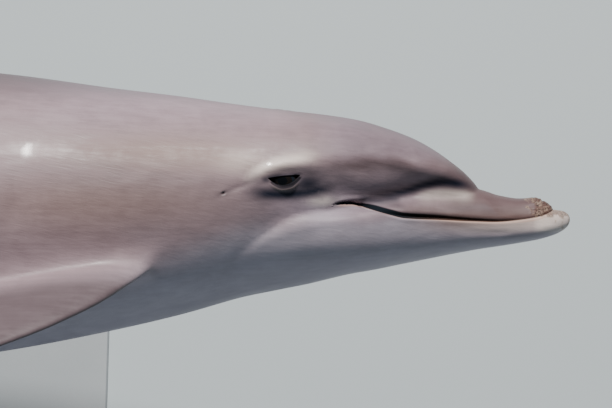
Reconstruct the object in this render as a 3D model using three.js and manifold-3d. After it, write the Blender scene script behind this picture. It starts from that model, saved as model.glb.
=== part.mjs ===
// A life-size bottlenose dolphin in a banked glide on a plain display stand.
// Millimetres, +Z up, head towards +X. The origin is on the floor, at the middle of the whole model's box.
//
// The animal is first described in its own upright frame: "behind" is the distance behind the tip of
// the upper jaw, left is +Y and the back is +Z. Two closed lofts, muzzle and trunk, make the body, and
// five swept fins are added to it. Thin kerfs then part it into the pieces a person would name.
import * as THREE from "three";
import { mergeVertices } from "three/addons/utils/BufferGeometryUtils.js";
import Module from "manifold-3d";

const wasm = await Module();
wasm.setup();

// ---------------------------------------------------------------- driving dimensions
const LENGTH = 2500; // tip of the upper jaw to the notch of the flukes
const ROLL = THREE.MathUtils.degToRad(65); // banked on to the left side, right flank up
const AXIS_HEIGHT = 575; // height of the body's reference line over the floor
const TAIL_BEND = THREE.MathUtils.degToRad(9); // how far the tail curls towards the belly
const BEND_FROM = 0.36 * LENGTH; // the tail starts to curl here
const KERF = 0.4; // width of the cut between two neighbouring pieces

const BODY_ROOM = 900; // a box this wide takes in any section of the body
const CROWN = 2.1; // exponent of the sections' upper half; 2 is an ellipse
const BODY_SIDES = 32; // facets round the trunk and muzzle
const FIN_CHORDS = 7; // facets from a fin's leading to its trailing edge
const FIN_ROWS = 8; // facets from a fin's root to its tip

// Outline of the two body lofts. Each row is one station: how far it is behind the tip of the upper
// jaw, then the heights of the top and bottom lines, the half width, and the height where it is widest.
const MUZZLE = [
  { behind: -22, top: -25, bottom: -25, half: 0, widest: -25 }, // tip of the lower jaw
  { behind: -19, top: -18, bottom: -34, half: 9, widest: -26 },
  { behind: -12, top: -14, bottom: -40, half: 15, widest: -27 },
  { behind: -2, top: -12.5, bottom: -45, half: 20, widest: -29 },
  { behind: 7, top: -4, bottom: -48, half: 23, widest: -31 }, // tip of the upper jaw
  { behind: 20, top: 1, bottom: -51.5, half: 26.5, widest: -33 },
  { behind: 45, top: 2, bottom: -56, half: 30.5, widest: -33 },
  { behind: 70, top: 6, bottom: -60, half: 35, widest: -33 },
  { behind: 97, top: 14, bottom: -64, half: 41, widest: -32 }, // crease under the melon
  { behind: 130, top: 17, bottom: -70, half: 49.5, widest: -29 },
  { behind: 165, top: 18, bottom: -77, half: 60, widest: -26 },
  { behind: 200, top: 14, bottom: -84, half: 73, widest: -24 },
  { behind: 240, top: 4, bottom: -92, half: 87, widest: -25 },
  { behind: 290, top: -8, bottom: -99, half: 101, widest: -29 }, // corner of the mouth
  { behind: 330, top: -12, bottom: -102, half: 105, widest: -35 },
  { behind: 370, top: -28, bottom: -102, half: 98, widest: -49 },
  { behind: 410, top: -44, bottom: -100, half: 84, widest: -61 },
  { behind: 465, top: -78, bottom: -78, half: 0, widest: -78 },
];
const TRUNK = [
  { behind: 92, top: -5, bottom: -5, half: 0, widest: -5, keel: 2 },
  { behind: 98, top: 16, bottom: -20, half: 13, widest: 4, keel: 2 },
  { behind: 112, top: 33, bottom: -28, half: 28, widest: 14, keel: 1.7 }, // front of the melon
  { behind: 130, top: 47.5, bottom: -34, half: 39, widest: 24, keel: 1.5 },
  { behind: 150, top: 62, bottom: -40, half: 49, widest: 34, keel: 1.4 },
  { behind: 180, top: 79, bottom: -50, half: 62, widest: 45, keel: 1.4 },
  { behind: 212, top: 91.5, bottom: -62, half: 75, widest: 50, keel: 1.5 },
  { behind: 255, top: 104, bottom: -80, half: 92, widest: 51, keel: 1.6 },
  { behind: 300, top: 111, bottom: -98, half: 108, widest: 47, keel: 1.7 },
  { behind: 350, top: 116.5, bottom: -113, half: 121, widest: 36, keel: 1.8 }, // eyes
  { behind: 410, top: 124, bottom: -128, half: 134, widest: 12, keel: 1.95 },
  { behind: 480, top: 134, bottom: -148, half: 148, widest: -8, keel: 2.05 },
  { behind: 570, top: 145, bottom: -169, half: 165, widest: -19, keel: 2.1 }, // flippers
  { behind: 700, top: 162.5, bottom: -194, half: 183.5, widest: -25, keel: 2.1 },
  { behind: 850, top: 176, bottom: -215, half: 198, widest: -29, keel: 2.1 },
  { behind: 1000, top: 184, bottom: -226, half: 203, widest: -31, keel: 2.1 }, // dorsal fin
  { behind: 1180, top: 183, bottom: -223, half: 198, widest: -30, keel: 2.05 },
  { behind: 1380, top: 167, bottom: -204, half: 175, widest: -27, keel: 2 },
  { behind: 1600, top: 134, bottom: -170, half: 136, widest: -22, keel: 1.9 },
  { behind: 1800, top: 102, bottom: -128, half: 98, widest: -16, keel: 1.8 },
  { behind: 2000, top: 72, bottom: -86, half: 66, widest: -9, keel: 1.7 },
  { behind: 2160, top: 52, bottom: -58, half: 45, widest: -4, keel: 1.65 },
  { behind: 2300, top: 37, bottom: -38, half: 31, widest: -1, keel: 1.7 },
  { behind: 2400, top: 25, bottom: -24, half: 23, widest: 0, keel: 1.8 },
  { behind: 2470, top: 12, bottom: -11, half: 13, widest: 0, keel: 2 },
  { behind: 2500, top: 0, bottom: 0, half: 0, widest: 0, keel: 2 },
];

// The mouth line seen from the side, from the front of the upper jaw to the corner of the mouth, and
// the line where the upper jaw's lip meets the melon.
const MOUTH_LINE = [
  [-30, -11],
  [-1, -12],
  [6, -16],
  [20, -21],
  [45, -25.5],
  [75, -27],
  [105, -25.5],
  [150, -21.5],
  [195, -18],
  [225, -10.5],
  [250, -3],
  [270, -1],
  [285, -4],
];
const LIP_TOP = [
  [94, 60],
  [97, 15],
  [130, 15],
  [163, 13],
  [183, 7],
  [198, -2],
  [214, -13.4],
];
const JAW_HINGE = [
  [285, -4],
  [305, -48],
  [322, -90],
  [332, -130],
];

// Cuts across the body, from the back of the head to the root of the flukes.
const CROSS_CUTS = [400, 480, 880, 1400, 1850, 2330];

const EYE = { behind: 350, height: 24, long: 21, tall: 17, deep: 15, proud: -1 };
const BLOWHOLE = { behind: 352, half: 15, curve: 9, width: 3, depth: 7 };

// Fins: outlines run from the root (share 0) to the tip (share 1) of the span. The dorsal fin's and the
// flukes' are distances behind the tip of the upper jaw, the flipper's are along its own chord.
const FIN_EDGE = 2; // thickness of the thinnest edges
const DORSAL = { root: 150, height: 264, thick: 40, taper: 0.78, flare: 16, flare_reach: 0.08 };
const dorsalFront = through([[0, 965], [0.25, 1078], [0.53, 1188], [0.81, 1300], [0.953, 1378], [1, 1420]]);
const dorsalBack = through([[0, 1404], [0.2, 1362], [0.43, 1346], [0.72, 1377], [0.905, 1412], [1, 1432]]);

const FLIPPER = { behind: 592, aside: 132, height: -80, buried: -70, length: 415, thick: 32, taper: 0.76,
  sweep: THREE.MathUtils.degToRad(32), droop: THREE.MathUtils.degToRad(28) };
const flipperFront = through([[0, -67], [0.1, -71], [0.3, -68], [0.5, -53], [0.7, -26], [0.85, 3], [0.95, 29],
  [1, 50]]);
const flipperBack = through([[0, 66], [0.1, 70], [0.3, 76], [0.5, 75], [0.7, 70], [0.85, 66], [0.95, 62],
  [1, 58]]);

const FLUKE = { half_span: 302, thick: 30, taper: 0.8 };
const flukeFront = through([[0, 2305], [0.08, 2322], [0.25, 2362], [0.5, 2420], [0.75, 2473], [0.92, 2514],
  [1, 2544]]);
const flukeBack = through([[0, 2494], [0.05, 2510], [0.15, 2521], [0.35, 2518], [0.6, 2514], [0.85, 2532],
  [1, 2552]]);

const BASE = { front: 610, back: 1910, width: 560, thick: 16, corner: 90, chamfer: 2 };
const ROD = { radius: 17, collar: 48, collar_height: 14, collar_chamfer: 4, behind: [860, 1560] };
const STAND_MIDDLE = -20; // the body's heaviest line, to the belly side of its reference line

// ---------------------------------------------------------------- curves
/** Smooth interpolation through (x, y) knots that never overshoots them. */
function through(knots) {
  const slopes = knots.slice(1).map(([x, y], i) => (y - knots[i][1]) / (x - knots[i][0]));
  const tangents = knots.map((_, i) => {
    if (i === 0) return slopes[0];
    if (i === knots.length - 1) return slopes[i - 1];
    const [before, after] = [slopes[i - 1], slopes[i]];
    return before * after <= 0 ? 0 : (2 * before * after) / (before + after);
  });
  return (x) => {
    let i = knots.findIndex(([k]) => k >= x) - 1;
    if (i === -2) i = knots.length - 2;
    i = Math.max(i, 0);
    const [[x0, y0], [x1, y1]] = [knots[i], knots[i + 1]];
    const width = x1 - x0;
    const t = THREE.MathUtils.clamp((x - x0) / width, 0, 1);
    const [a, b] = [tangents[i] * width, tangents[i + 1] * width];
    const [t2, t3] = [t * t, t * t * t];
    return (
      y0 * (2 * t3 - 3 * t2 + 1) + a * (t3 - 2 * t2 + t) + y1 * (3 * t2 - 2 * t3) + b * (t3 - t2)
    );
  };
}

/** One column of a table of stations, as a curve that is blunt at the first station. */
function column(stations, key) {
  const share = (behind) => Math.sqrt(Math.max(behind - stations[0].behind, 0));
  const curve = through(stations.map((s) => [share(s.behind), s[key]]));
  return (behind) => curve(share(behind));
}

/** A loft's outline as functions of the distance behind the tip of the upper jaw. */
function outline(stations, keel) {
  const [top, bottom, half, widest] = ["top", "bottom", "half", "widest"].map((key) => column(stations, key));
  return { top, bottom, half, widest, keel: keel ?? column(stations, "keel") };
}

const muzzle = outline(MUZZLE, () => 2.2);
const trunk = outline(TRUNK);

// ---------------------------------------------------------------- placing
/** Curls the tail, banks the animal and lifts it to its height over the floor. */
function placed(geometry) {
  const p = geometry.attributes.position;
  const tail = LENGTH - BEND_FROM;
  for (let i = 0; i < p.count; i++) {
    const [x, z] = [p.getX(i), p.getZ(i)];
    const t = Math.max(0, (-x - BEND_FROM) / tail);
    if (t > 0) {
      const turn = TAIL_BEND * t * t;
      const along = BEND_FROM + tail * (t - (TAIL_BEND ** 2 * t ** 5) / 10);
      p.setX(i, -along - z * Math.sin(turn));
      p.setZ(i, (-tail * TAIL_BEND * t ** 3) / 3 + z * Math.cos(turn));
    }
  }
  return geometry.rotateX(-ROLL).translate(0, 0, AXIS_HEIGHT);
}

// ---------------------------------------------------------------- solids
/** A closed geometry as a solid, its faces turned to point outwards. */
function solidOf(geometry) {
  const bare = new THREE.BufferGeometry().setAttribute("position", geometry.attributes.position);
  if (geometry.index) bare.setIndex(geometry.index);
  const merged = mergeVertices(bare, 1e-4);
  const vertProperties = new Float32Array(merged.attributes.position.array);
  const triVerts = new Uint32Array(merged.index.array);
  const made = () => new wasm.Manifold(new wasm.Mesh({ numProp: 3, vertProperties, triVerts }));
  const solid = made();
  if (solid.volume() > 0) return solid;
  triVerts.reverse();
  return made();
}

/** A part of the animal, drawn in its upright frame, as a solid in its banked pose. */
const fleshOf = (geometry) => solidOf(placed(geometry));

/** Closes a stack of rings, each a list of points, with a fan at both ends. */
function closedStack(rings) {
  const sides = rings[0].length;
  const middle = (ring) => ring.reduce((sum, v) => sum.add(v), new THREE.Vector3()).divideScalar(sides);
  const points = [...rings.flat(), middle(rings[0]), middle(rings.at(-1))];
  const [first, last] = [points.length - 2, points.length - 1];
  const end = (rings.length - 1) * sides;
  const faces = [];
  for (let j = 0; j < sides; j++) {
    const k = (j + 1) % sides;
    for (let a = 0; a < end; a += sides) {
      const b = a + sides;
      faces.push(a + j, a + k, b + k, a + j, b + k, b + j);
    }
    faces.push(first, k, j, last, end + j, end + k);
  }
  return new THREE.BufferGeometry().setFromPoints(points).setIndex(faces);
}

const power = (value, n) => Math.sign(value) * Math.abs(value) ** (2 / n);

/** One body loft through the given stations, grown outwards by a margin. */
function bodyLoft(line, stations, margin) {
  const rings = stations.map((behind) => {
    const widest = line.widest(behind);
    const up = line.top(behind) - widest + margin;
    const down = widest - line.bottom(behind) + margin;
    const half = line.half(behind) + margin;
    return Array.from({ length: BODY_SIDES }, (_, j) => {
      const angle = (2 * Math.PI * j) / BODY_SIDES;
      const [c, s] = [Math.cos(angle), Math.sin(angle)];
      const n = s > 0 ? CROWN : line.keel(behind);
      return new THREE.Vector3(-behind, half * power(c, n), widest + (s > 0 ? up : down) * power(s, n));
    });
  });
  return closedStack(rings);
}

/** Evenly spaced stations, both ends included. */
function spread(from, to, count) {
  return Array.from({ length: count }, (_, i) => from + ((to - from) * i) / (count - 1));
}

/** Both body lofts as one solid. */
function bodySolid(margin = 0) {
  const known = (stations) => stations.map((s) => s.behind);
  const muzzleStations = [...known(MUZZLE), 57, 84, 113, 148, 182, 220, 265, 310];
  const trunkStations = [...known(TRUNK.slice(0, 12)), 105, 121, 165, 196, 233, 277, 325, 380,
    ...spread(525, 2350, 13), ...known(TRUNK.slice(-3))];
  const inOrder = (stations) => stations.sort((a, b) => a - b);
  return fleshOf(bodyLoft(trunk, inOrder(trunkStations), margin))
    .add(fleshOf(bodyLoft(muzzle, inOrder(muzzleStations), margin)));
}

// ---------------------------------------------------------------- fins
/** Half the thickness of a fin's section, as a share of its greatest thickness, at a share of its chord. */
const foil = (c) => 1.4845 * Math.sqrt(c) - 0.63 * c - 1.758 * c ** 2 + 1.4215 * c ** 3 - 0.5075 * c ** 4;

/**
 * A fin from its root (share 0) to its tip (share 1). plan gives, for a share of the span, how far out
 * that row is, its leading and trailing edges along the chord, and its thickness. at turns a place out
 * along the span, back along the chord and to one side into a point of the upright frame.
 */
function finLoft(plan, at) {
  const crowding = 1.6; // rows lie closer together towards the tip
  const rings = Array.from({ length: FIN_ROWS + 1 }, (_, i) => {
    const row = plan(1 - (1 - i / FIN_ROWS) ** crowding);
    const chord = row.trailing - row.leading;
    const face = (side) =>
      Array.from({ length: FIN_CHORDS + 1 }, (_, j) => {
        const share = (1 - Math.cos((Math.PI * j) / FIN_CHORDS)) / 2;
        const thick = Math.max(row.thick * foil(share), FIN_EDGE / 2);
        return at(row.out, row.leading + chord * share, side * thick);
      });
    return [...face(1), ...face(-1).reverse()];
  });
  return fleshOf(closedStack(rings));
}

function dorsalFin() {
  const plan = (t) => ({
    out: DORSAL.root + t * DORSAL.height,
    leading: dorsalFront(t),
    trailing: dorsalBack(t),
    thick: DORSAL.thick * (1 - DORSAL.taper * t) + DORSAL.flare * Math.exp(-t / DORSAL.flare_reach),
  });
  return finLoft(plan, (out, chord, side) => new THREE.Vector3(-chord, side, out));
}

function flipper(side) {
  const { sweep, droop } = FLIPPER;
  const plan = (t) => ({
    out: FLIPPER.buried + t * FLIPPER.length,
    leading: flipperFront(t),
    trailing: flipperBack(t),
    thick: FLIPPER.thick * (1 - FLIPPER.taper * t),
  });
  return finLoft(plan, (out, chord, up) => {
    const outward = out * Math.cos(sweep) - chord * Math.sin(sweep);
    const back = out * Math.sin(sweep) + chord * Math.cos(sweep);
    return new THREE.Vector3(
      -FLIPPER.behind - back,
      side * (FLIPPER.aside + outward * Math.cos(droop) + up * Math.sin(droop)),
      FLIPPER.height - outward * Math.sin(droop) + up * Math.cos(droop),
    );
  });
}

function fluke(side) {
  const plan = (t) => ({
    out: t * FLUKE.half_span,
    leading: flukeFront(t),
    trailing: flukeBack(t),
    thick: FLUKE.thick * (1 - FLUKE.taper * t),
  });
  return finLoft(plan, (out, chord, up) => new THREE.Vector3(-chord, side * out, up));
}

// ---------------------------------------------------------------- cuts
/** A thin wall across the whole width, standing on a line drawn in the side view. */
function sideKerf(line) {
  const points = line.map(([behind, height]) => new THREE.Vector2(-behind, height));
  const across = points.map((_, i) => {
    const along = points[Math.min(i + 1, points.length - 1)].clone().sub(points[Math.max(i - 1, 0)]);
    return new THREE.Vector2(-along.y, along.x).setLength(KERF / 2);
  });
  const left = points.map((p, i) => p.clone().add(across[i]));
  const right = points.map((p, i) => p.clone().sub(across[i]));
  const shape = new THREE.Shape([...left, ...right.reverse()]);
  const wall = new THREE.ExtrudeGeometry(shape, { depth: BODY_ROOM, bevelEnabled: false });
  return fleshOf(wall.rotateX(Math.PI / 2).translate(0, BODY_ROOM / 2, 0));
}

/** A flat cut across the body. */
function crossKerf(behind) {
  return fleshOf(new THREE.BoxGeometry(KERF, BODY_ROOM, BODY_ROOM).translate(-behind, 0, 0));
}

/** The cut that parts the left fluke from the right one. */
function midlineKerf() {
  const from = CROSS_CUTS.at(-1);
  const wall = new THREE.BoxGeometry(BODY_ROOM, KERF, BODY_ROOM);
  return fleshOf(wall.translate(-from - BODY_ROOM / 2, 0, 0));
}

/** The crescent slit of the blowhole, its horns pointing forwards. */
function blowhole() {
  const { half, curve, width, depth, behind } = BLOWHOLE;
  const shares = spread(-1, 1, 9);
  const spine = (t) => -behind + curve * t * t;
  const front = shares.map((t) => new THREE.Vector2(spine(t) + (width / 2) * (1.3 - t * t), half * t));
  const back = shares.map((t) => new THREE.Vector2(spine(t) - (width / 2) * (1.3 - t * t), half * t));
  const shape = new THREE.Shape([...front, ...back.reverse()]);
  const slit = new THREE.ExtrudeGeometry(shape, { depth: 8 * depth, bevelEnabled: false });
  return fleshOf(slit.translate(0, 0, trunk.top(behind) - depth));
}

// ---------------------------------------------------------------- eyes and stand
function eyeball(side, margin = 0) {
  const ball = new THREE.SphereGeometry(1, 16, 9);
  ball.scale(EYE.long + margin, EYE.deep + margin, EYE.tall + margin);
  const aside = trunk.half(EYE.behind) + EYE.proud - EYE.deep;
  return fleshOf(ball.translate(-EYE.behind, side * aside, EYE.height));
}

/** A flat plate with round corners and a small chamfer, lying on the floor. */
function standBase() {
  const { front, back, width, thick, corner, chamfer } = BASE;
  const [half, wide] = [(back - front) / 2 - chamfer, width / 2 - chamfer];
  const shape = new THREE.Shape();
  for (const [x, y, turn] of [[1, 1, 0], [-1, 1, 1], [-1, -1, 2], [1, -1, 3]]) {
    const start = (turn * Math.PI) / 2;
    shape.absarc(x * (half - corner), y * (wide - corner), corner, start, start + Math.PI / 2);
  }
  const bevel = { bevelThickness: chamfer, bevelSize: chamfer, bevelSegments: 1, curveSegments: 5 };
  const plate = new THREE.ExtrudeGeometry(shape, { depth: thick - 2 * chamfer, ...bevel });
  return solidOf(plate.translate(-(front + back) / 2, STAND_MIDDLE, chamfer));
}

/** An upright rod with a low collar at its foot, standing on the base. */
function standRod(behind) {
  const { radius, collar, collar_height, collar_chamfer } = ROD;
  const foot = BASE.thick + KERF;
  const profile = [[0, 0], [collar, 0], [collar, collar_height - collar_chamfer],
    [collar - collar_chamfer, collar_height], [radius, collar_height], [radius, AXIS_HEIGHT - foot],
    [0, AXIS_HEIGHT - foot]];
  const rod = new THREE.LatheGeometry(profile.map(([r, h]) => new THREE.Vector2(r, h)), 24);
  return solidOf(rod.rotateX(Math.PI / 2).translate(-behind, STAND_MIDDLE, foot));
}

// ---------------------------------------------------------------- the model
const LOOKS = {
  skin: { color: 0xb0a4a9, roughness: 0.45, metalness: 0 },
  jaw: { color: 0xc4b6b5, roughness: 0.45, metalness: 0 },
  fin: { color: 0x6b666b, roughness: 0.45, metalness: 0 },
  eye: { color: 0x0c0b0a, roughness: 0.08, metalness: 0 },
  base: { color: 0x8d9498, roughness: 0.55, metalness: 0 },
  rod: { color: 0xb4b6b8, roughness: 0.3, metalness: 1 },
};

function meshOf(name, solid, look) {
  const { vertProperties, triVerts } = solid.getMesh();
  const geometry = new THREE.BufferGeometry();
  geometry.setAttribute("position", new THREE.BufferAttribute(vertProperties, 3));
  geometry.setIndex(new THREE.BufferAttribute(triVerts, 1));
  geometry.computeVertexNormals();
  const mesh = new THREE.Mesh(geometry, new THREE.MeshStandardMaterial(look));
  mesh.name = name;
  return mesh;
}

/** The body with its flukes, parted by the cuts, as solids in order from the snout to the tail. */
function bodyPieces() {
  const whole = [fluke(1), fluke(-1)].reduce((sum, fin) => sum.add(fin), bodySolid());
  const cuts = [MOUTH_LINE, LIP_TOP, JAW_HINGE].map(sideKerf);
  const hollows = [eyeball(1, KERF), eyeball(-1, KERF), blowhole()];
  const parted = [...cuts, ...CROSS_CUTS.map(crossKerf), midlineKerf(), ...hollows].reduce(
    (left, cut) => left.subtract(cut),
    whole,
  );
  const front = (solid) => solid.boundingBox().max[0];
  return parted.decompose().sort((a, b) => front(b) - front(a));
}

function dolphin() {
  const names = ["lower_jaw", "upper_jaw", "head", "neck", "chest", "trunk", "tail_base", "tail_stock"];
  const pieces = bodyPieces();
  const flukes = pieces.splice(-2).sort((a, b) => a.boundingBox().min[2] - b.boundingBox().min[2]);
  const grown = bodySolid(KERF);
  return [
    ...pieces.map((piece, i) => meshOf(names[i], piece, i === 0 ? LOOKS.jaw : LOOKS.skin)),
    meshOf("fluke_left", flukes[0], LOOKS.fin),
    meshOf("fluke_right", flukes[1], LOOKS.fin),
    meshOf("dorsal_fin", dorsalFin().subtract(grown), LOOKS.fin),
    meshOf("flipper_left", flipper(1).subtract(grown), LOOKS.fin),
    meshOf("flipper_right", flipper(-1).subtract(grown), LOOKS.fin),
    meshOf("eye_left", eyeball(1), LOOKS.eye),
    meshOf("eye_right", eyeball(-1), LOOKS.eye),
    meshOf("stand_base", standBase(), LOOKS.base),
    meshOf("stand_rod_front", standRod(ROD.behind[0]).subtract(grown), LOOKS.rod),
    meshOf("stand_rod_rear", standRod(ROD.behind[1]).subtract(grown), LOOKS.rod),
  ];
}

const model = new THREE.Group().add(...dolphin());
const middle = new THREE.Box3().setFromObject(model, true).getCenter(new THREE.Vector3());
model.position.set(-middle.x, -middle.y, 0);

export default model;
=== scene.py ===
import math

import bmesh
import bpy
import numpy as np
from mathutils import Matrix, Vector


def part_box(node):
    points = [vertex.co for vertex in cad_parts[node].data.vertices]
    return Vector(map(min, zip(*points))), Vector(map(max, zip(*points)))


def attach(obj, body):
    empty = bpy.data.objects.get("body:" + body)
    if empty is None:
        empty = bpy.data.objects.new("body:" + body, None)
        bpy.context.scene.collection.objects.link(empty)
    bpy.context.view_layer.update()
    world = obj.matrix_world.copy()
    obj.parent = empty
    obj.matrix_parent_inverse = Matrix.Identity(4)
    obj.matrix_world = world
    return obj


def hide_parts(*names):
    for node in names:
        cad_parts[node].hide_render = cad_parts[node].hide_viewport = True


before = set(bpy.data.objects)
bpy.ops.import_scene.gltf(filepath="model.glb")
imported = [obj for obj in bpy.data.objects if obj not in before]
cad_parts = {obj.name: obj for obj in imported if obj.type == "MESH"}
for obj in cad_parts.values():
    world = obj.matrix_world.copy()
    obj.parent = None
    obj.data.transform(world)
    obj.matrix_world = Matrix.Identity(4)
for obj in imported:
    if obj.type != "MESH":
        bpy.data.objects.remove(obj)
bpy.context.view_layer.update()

MM = 0.001

FLESH = ("head", "upper_jaw", "lower_jaw", "neck", "chest", "trunk", "tail_base", "tail_stock", "dorsal_fin",
         "flipper_left", "flipper_right", "fluke_left", "fluke_right")

# ---------------- the body's outline, in millimetres
LENGTH = 2500.0  # tip of the upper jaw to the notch of the flukes
TAIL_BEND = math.radians(9)  # how far the tail curls towards the belly
BEND_FROM = 0.36 * LENGTH
CROWN = 2.1  # exponent of the sections' upper half; 2 is an ellipse
MUZZLE_KEEL = 2.2  # the same for the muzzle's lower half

# Stations of the two lofts that make the body: distance behind the tip of the upper jaw, heights of the
# top and bottom lines, half width, height where it is widest and, for the trunk, the lower half's exponent.
MUZZLE = [
    (-22, -25, -25, 0, -25),
    (-19, -18, -34, 9, -26),
    (-12, -14, -40, 15, -27),
    (-2, -12.5, -45, 20, -29),
    (7, -4, -48, 23, -31),
    (20, 1, -51.5, 26.5, -33),
    (45, 2, -56, 30.5, -33),
    (70, 6, -60, 35, -33),
    (97, 14, -64, 41, -32),
    (130, 17, -70, 49.5, -29),
    (165, 18, -77, 60, -26),
    (200, 14, -84, 73, -24),
    (240, 4, -92, 87, -25),
    (290, -8, -99, 101, -29),
    (330, -12, -102, 105, -35),
    (370, -28, -102, 98, -49),
    (410, -44, -100, 84, -61),
    (465, -78, -78, 0, -78),
]
TRUNK = [
    (92, -5, -5, 0, -5, 2),
    (98, 16, -20, 13, 4, 2),
    (112, 33, -28, 28, 14, 1.7),
    (130, 47.5, -34, 39, 24, 1.5),
    (150, 62, -40, 49, 34, 1.4),
    (180, 79, -50, 62, 45, 1.4),
    (212, 91.5, -62, 75, 50, 1.5),
    (255, 104, -80, 92, 51, 1.6),
    (300, 111, -98, 108, 47, 1.7),
    (350, 116.5, -113, 121, 36, 1.8),
    (410, 124, -128, 134, 12, 1.95),
    (480, 134, -148, 148, -8, 2.05),
    (570, 145, -169, 165, -19, 2.1),
    (700, 162.5, -194, 183.5, -25, 2.1),
    (850, 176, -215, 198, -29, 2.1),
    (1000, 184, -226, 203, -31, 2.1),
    (1180, 183, -223, 198, -30, 2.05),
    (1380, 167, -204, 175, -27, 2),
    (1600, 134, -170, 136, -22, 1.9),
    (1800, 102, -128, 98, -16, 1.8),
    (2000, 72, -86, 66, -9, 1.7),
    (2160, 52, -58, 45, -4, 1.65),
    (2300, 37, -38, 31, -1, 1.7),
    (2400, 25, -24, 23, 0, 1.8),
    (2470, 12, -11, 13, 0, 2),
    (2500, 0, 0, 0, 0, 2),
]

WIDEST = 400.0  # farther than any ring reaches from its middle
COLUMNS = 112  # facets round every ring of the skin
FIN_EDGE = 2.0  # thickness of the thinnest fin edges
FINS_FROM = 500  # every fin lies behind this
FIN_CAPE = 0.7  # how strong the cape's colour is on the fins
HEAD_END = 480  # the mesh is made finer in front of this
EYE_SIDE = 60  # the eyes lie farther than this from the midline
LID = 1.6  # thickness of the eyelids
MOUTH_EDGE = 1.3  # how far below its line the mouth's edge is, as a share of its groove's half width
FAR = 1e3  # farther than anything on the head


# ---------------- curves
def through(knots):
    """Smooth interpolation through (x, y) knots that never overshoots them."""
    x, y = np.array(knots, float).T
    slope = np.diff(y) / np.diff(x)
    product = slope[:-1] * slope[1:]
    mean = 2 * product / np.where(product > 0, slope[:-1] + slope[1:], 1)
    tangent = np.concatenate([slope[:1], np.where(product > 0, mean, 0), slope[-1:]])

    def curve(at):
        i = np.clip(np.searchsorted(x, at) - 1, 0, len(x) - 2)
        width = x[i + 1] - x[i]
        t = np.clip((at - x[i]) / width, 0, 1)
        start = y[i] * (2 * t**3 - 3 * t**2 + 1) + tangent[i] * width * (t**3 - 2 * t**2 + t)
        return start + y[i + 1] * (3 * t**2 - 2 * t**3) + tangent[i + 1] * width * (t**3 - t**2)

    return curve


def smooth(low, high, value):
    """0 below low, 1 above high, and a smooth step between."""
    t = np.clip((value - low) / (high - low), 0, 1)
    return t * t * (3 - 2 * t)


def hump(value, width):
    """A bell curve, 1 at zero."""
    return np.exp(-((value / width) ** 2))


def soft_maximum(a, b, width):
    """The larger of two lengths, rounded where they differ by less than the width."""
    overlap = np.maximum(width - np.abs(a - b), 0) / width
    return np.maximum(a, b) + overlap**2 * width / 4


def farthest(inside, start, steps):
    """For each place, how far up from 0 towards the start is still inside, by halving."""
    low, high = np.zeros_like(start), start
    for _ in range(steps):
        middle = (low + high) / 2
        within = inside(middle)
        low, high = np.where(within, middle, low), np.where(within, high, middle)
    return low


def blunt_column(stations, key):
    """One column of a table of stations, as a curve that is blunt at the first station."""
    front = stations[0][0]
    curve = through([(math.sqrt(row[0] - front), row[key]) for row in stations])
    return lambda behind: curve(np.sqrt(np.maximum(behind - front, 0)))


class Loft:
    """One of the body's two lofts."""

    def __init__(self, stations):
        self.front, self.back = stations[0][0], stations[-1][0]
        self.top, self.bottom, self.half, self.widest = (blunt_column(stations, key) for key in (1, 2, 3, 4))
        self.keel = through([(row[0], row[5]) for row in stations])

    def radius(self, behind, angle, middle):
        """How far the outline is from the ring's middle, in a direction round the body."""
        widest = self.widest(behind)
        up = np.maximum(self.top(behind) - widest, 1e-6)
        down = np.maximum(widest - self.bottom(behind), 1e-6)
        half = np.maximum(self.half(behind), 1e-6)
        keel = self.keel(behind)

        def inside(r):
            y = np.abs(r * np.cos(angle)) / half
            z = middle + r * np.sin(angle) - widest
            crown = y**CROWN + (np.abs(z) / up) ** CROWN
            belly = y**keel + (np.abs(z) / down) ** keel
            return np.where(z > 0, crown, belly) < 1

        within = (behind >= self.front) & (behind <= self.back)
        return np.where(within, farthest(inside, np.full_like(behind, WIDEST), 28), 0)


muzzle, trunk = Loft([(*row, MUZZLE_KEEL) for row in MUZZLE]), Loft(TRUNK)
# A height inside both lofts, which the rings of the skin are drawn round.
ring_middle = through([(-22, -26), (60, -26), (92, -5), (130, -8), (200, -15), (260, -23), (300, -30),
                       (340, -30), (420, -8), (600, -12), (1000, -20), (1600, -18), (2100, -6), (2300, 0),
                       (2500, 0)])
# How softly the muzzle and the trunk run into each other: crisp where the melon rises from the beak.
blend_width = through([(92, 2.5), (110, 4), (160, 9), (230, 13), (280, 20), (330, 26), (370, 28)])


def body_radius(behind, angle, middle):
    """How far the body's skin is from the ring's middle, before any fold or groove."""
    radii = [loft.radius(behind, angle, middle) for loft in (muzzle, trunk)]
    return soft_maximum(*radii, blend_width(behind))


def body_surface(behind, angle):
    """Points of the body: angle 0 is its left side, a quarter turn its back."""
    middle = ring_middle(behind)
    r = body_radius(behind, angle, middle)
    return np.stack([-behind, r * np.cos(angle), middle + r * np.sin(angle)], axis=-1)


def standing_off(points):
    """How far each point stands off the plain body, in millimetres: negative inside it."""
    behind, side = -points[:, 0], points[:, 1]
    middle = ring_middle(behind)
    up = points[:, 2] - middle
    return np.hypot(side, up) - body_radius(behind, np.arctan2(up, side), middle)


# ---------------- fins
def foil(chord):
    """Half the thickness of a fin's section, as a share of its thickness, at a share of its chord."""
    nose = 1.4845 * np.sqrt(chord)
    return nose - 0.63 * chord - 1.758 * chord**2 + 1.4215 * chord**3 - 0.5075 * chord**4


def fin_section(chord, thick):
    edge = FIN_EDGE / 2 * smooth(0.02, 0.1, chord) * smooth(1, 0.985, chord)
    return np.maximum(thick * foil(chord), edge)


def blade(fin, span, chord, side):
    """Where a fin's section is along the body and across its thickness, at a share of its span."""
    leading, trailing = fin["front"](span), fin["back"](span)
    thick = fin["thick"] * (1 - fin["taper"] * span) + fin["flare"] * np.exp(-span / FLARE_REACH)
    return leading + (trailing - leading) * chord, side * fin_section(chord, thick)


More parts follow.
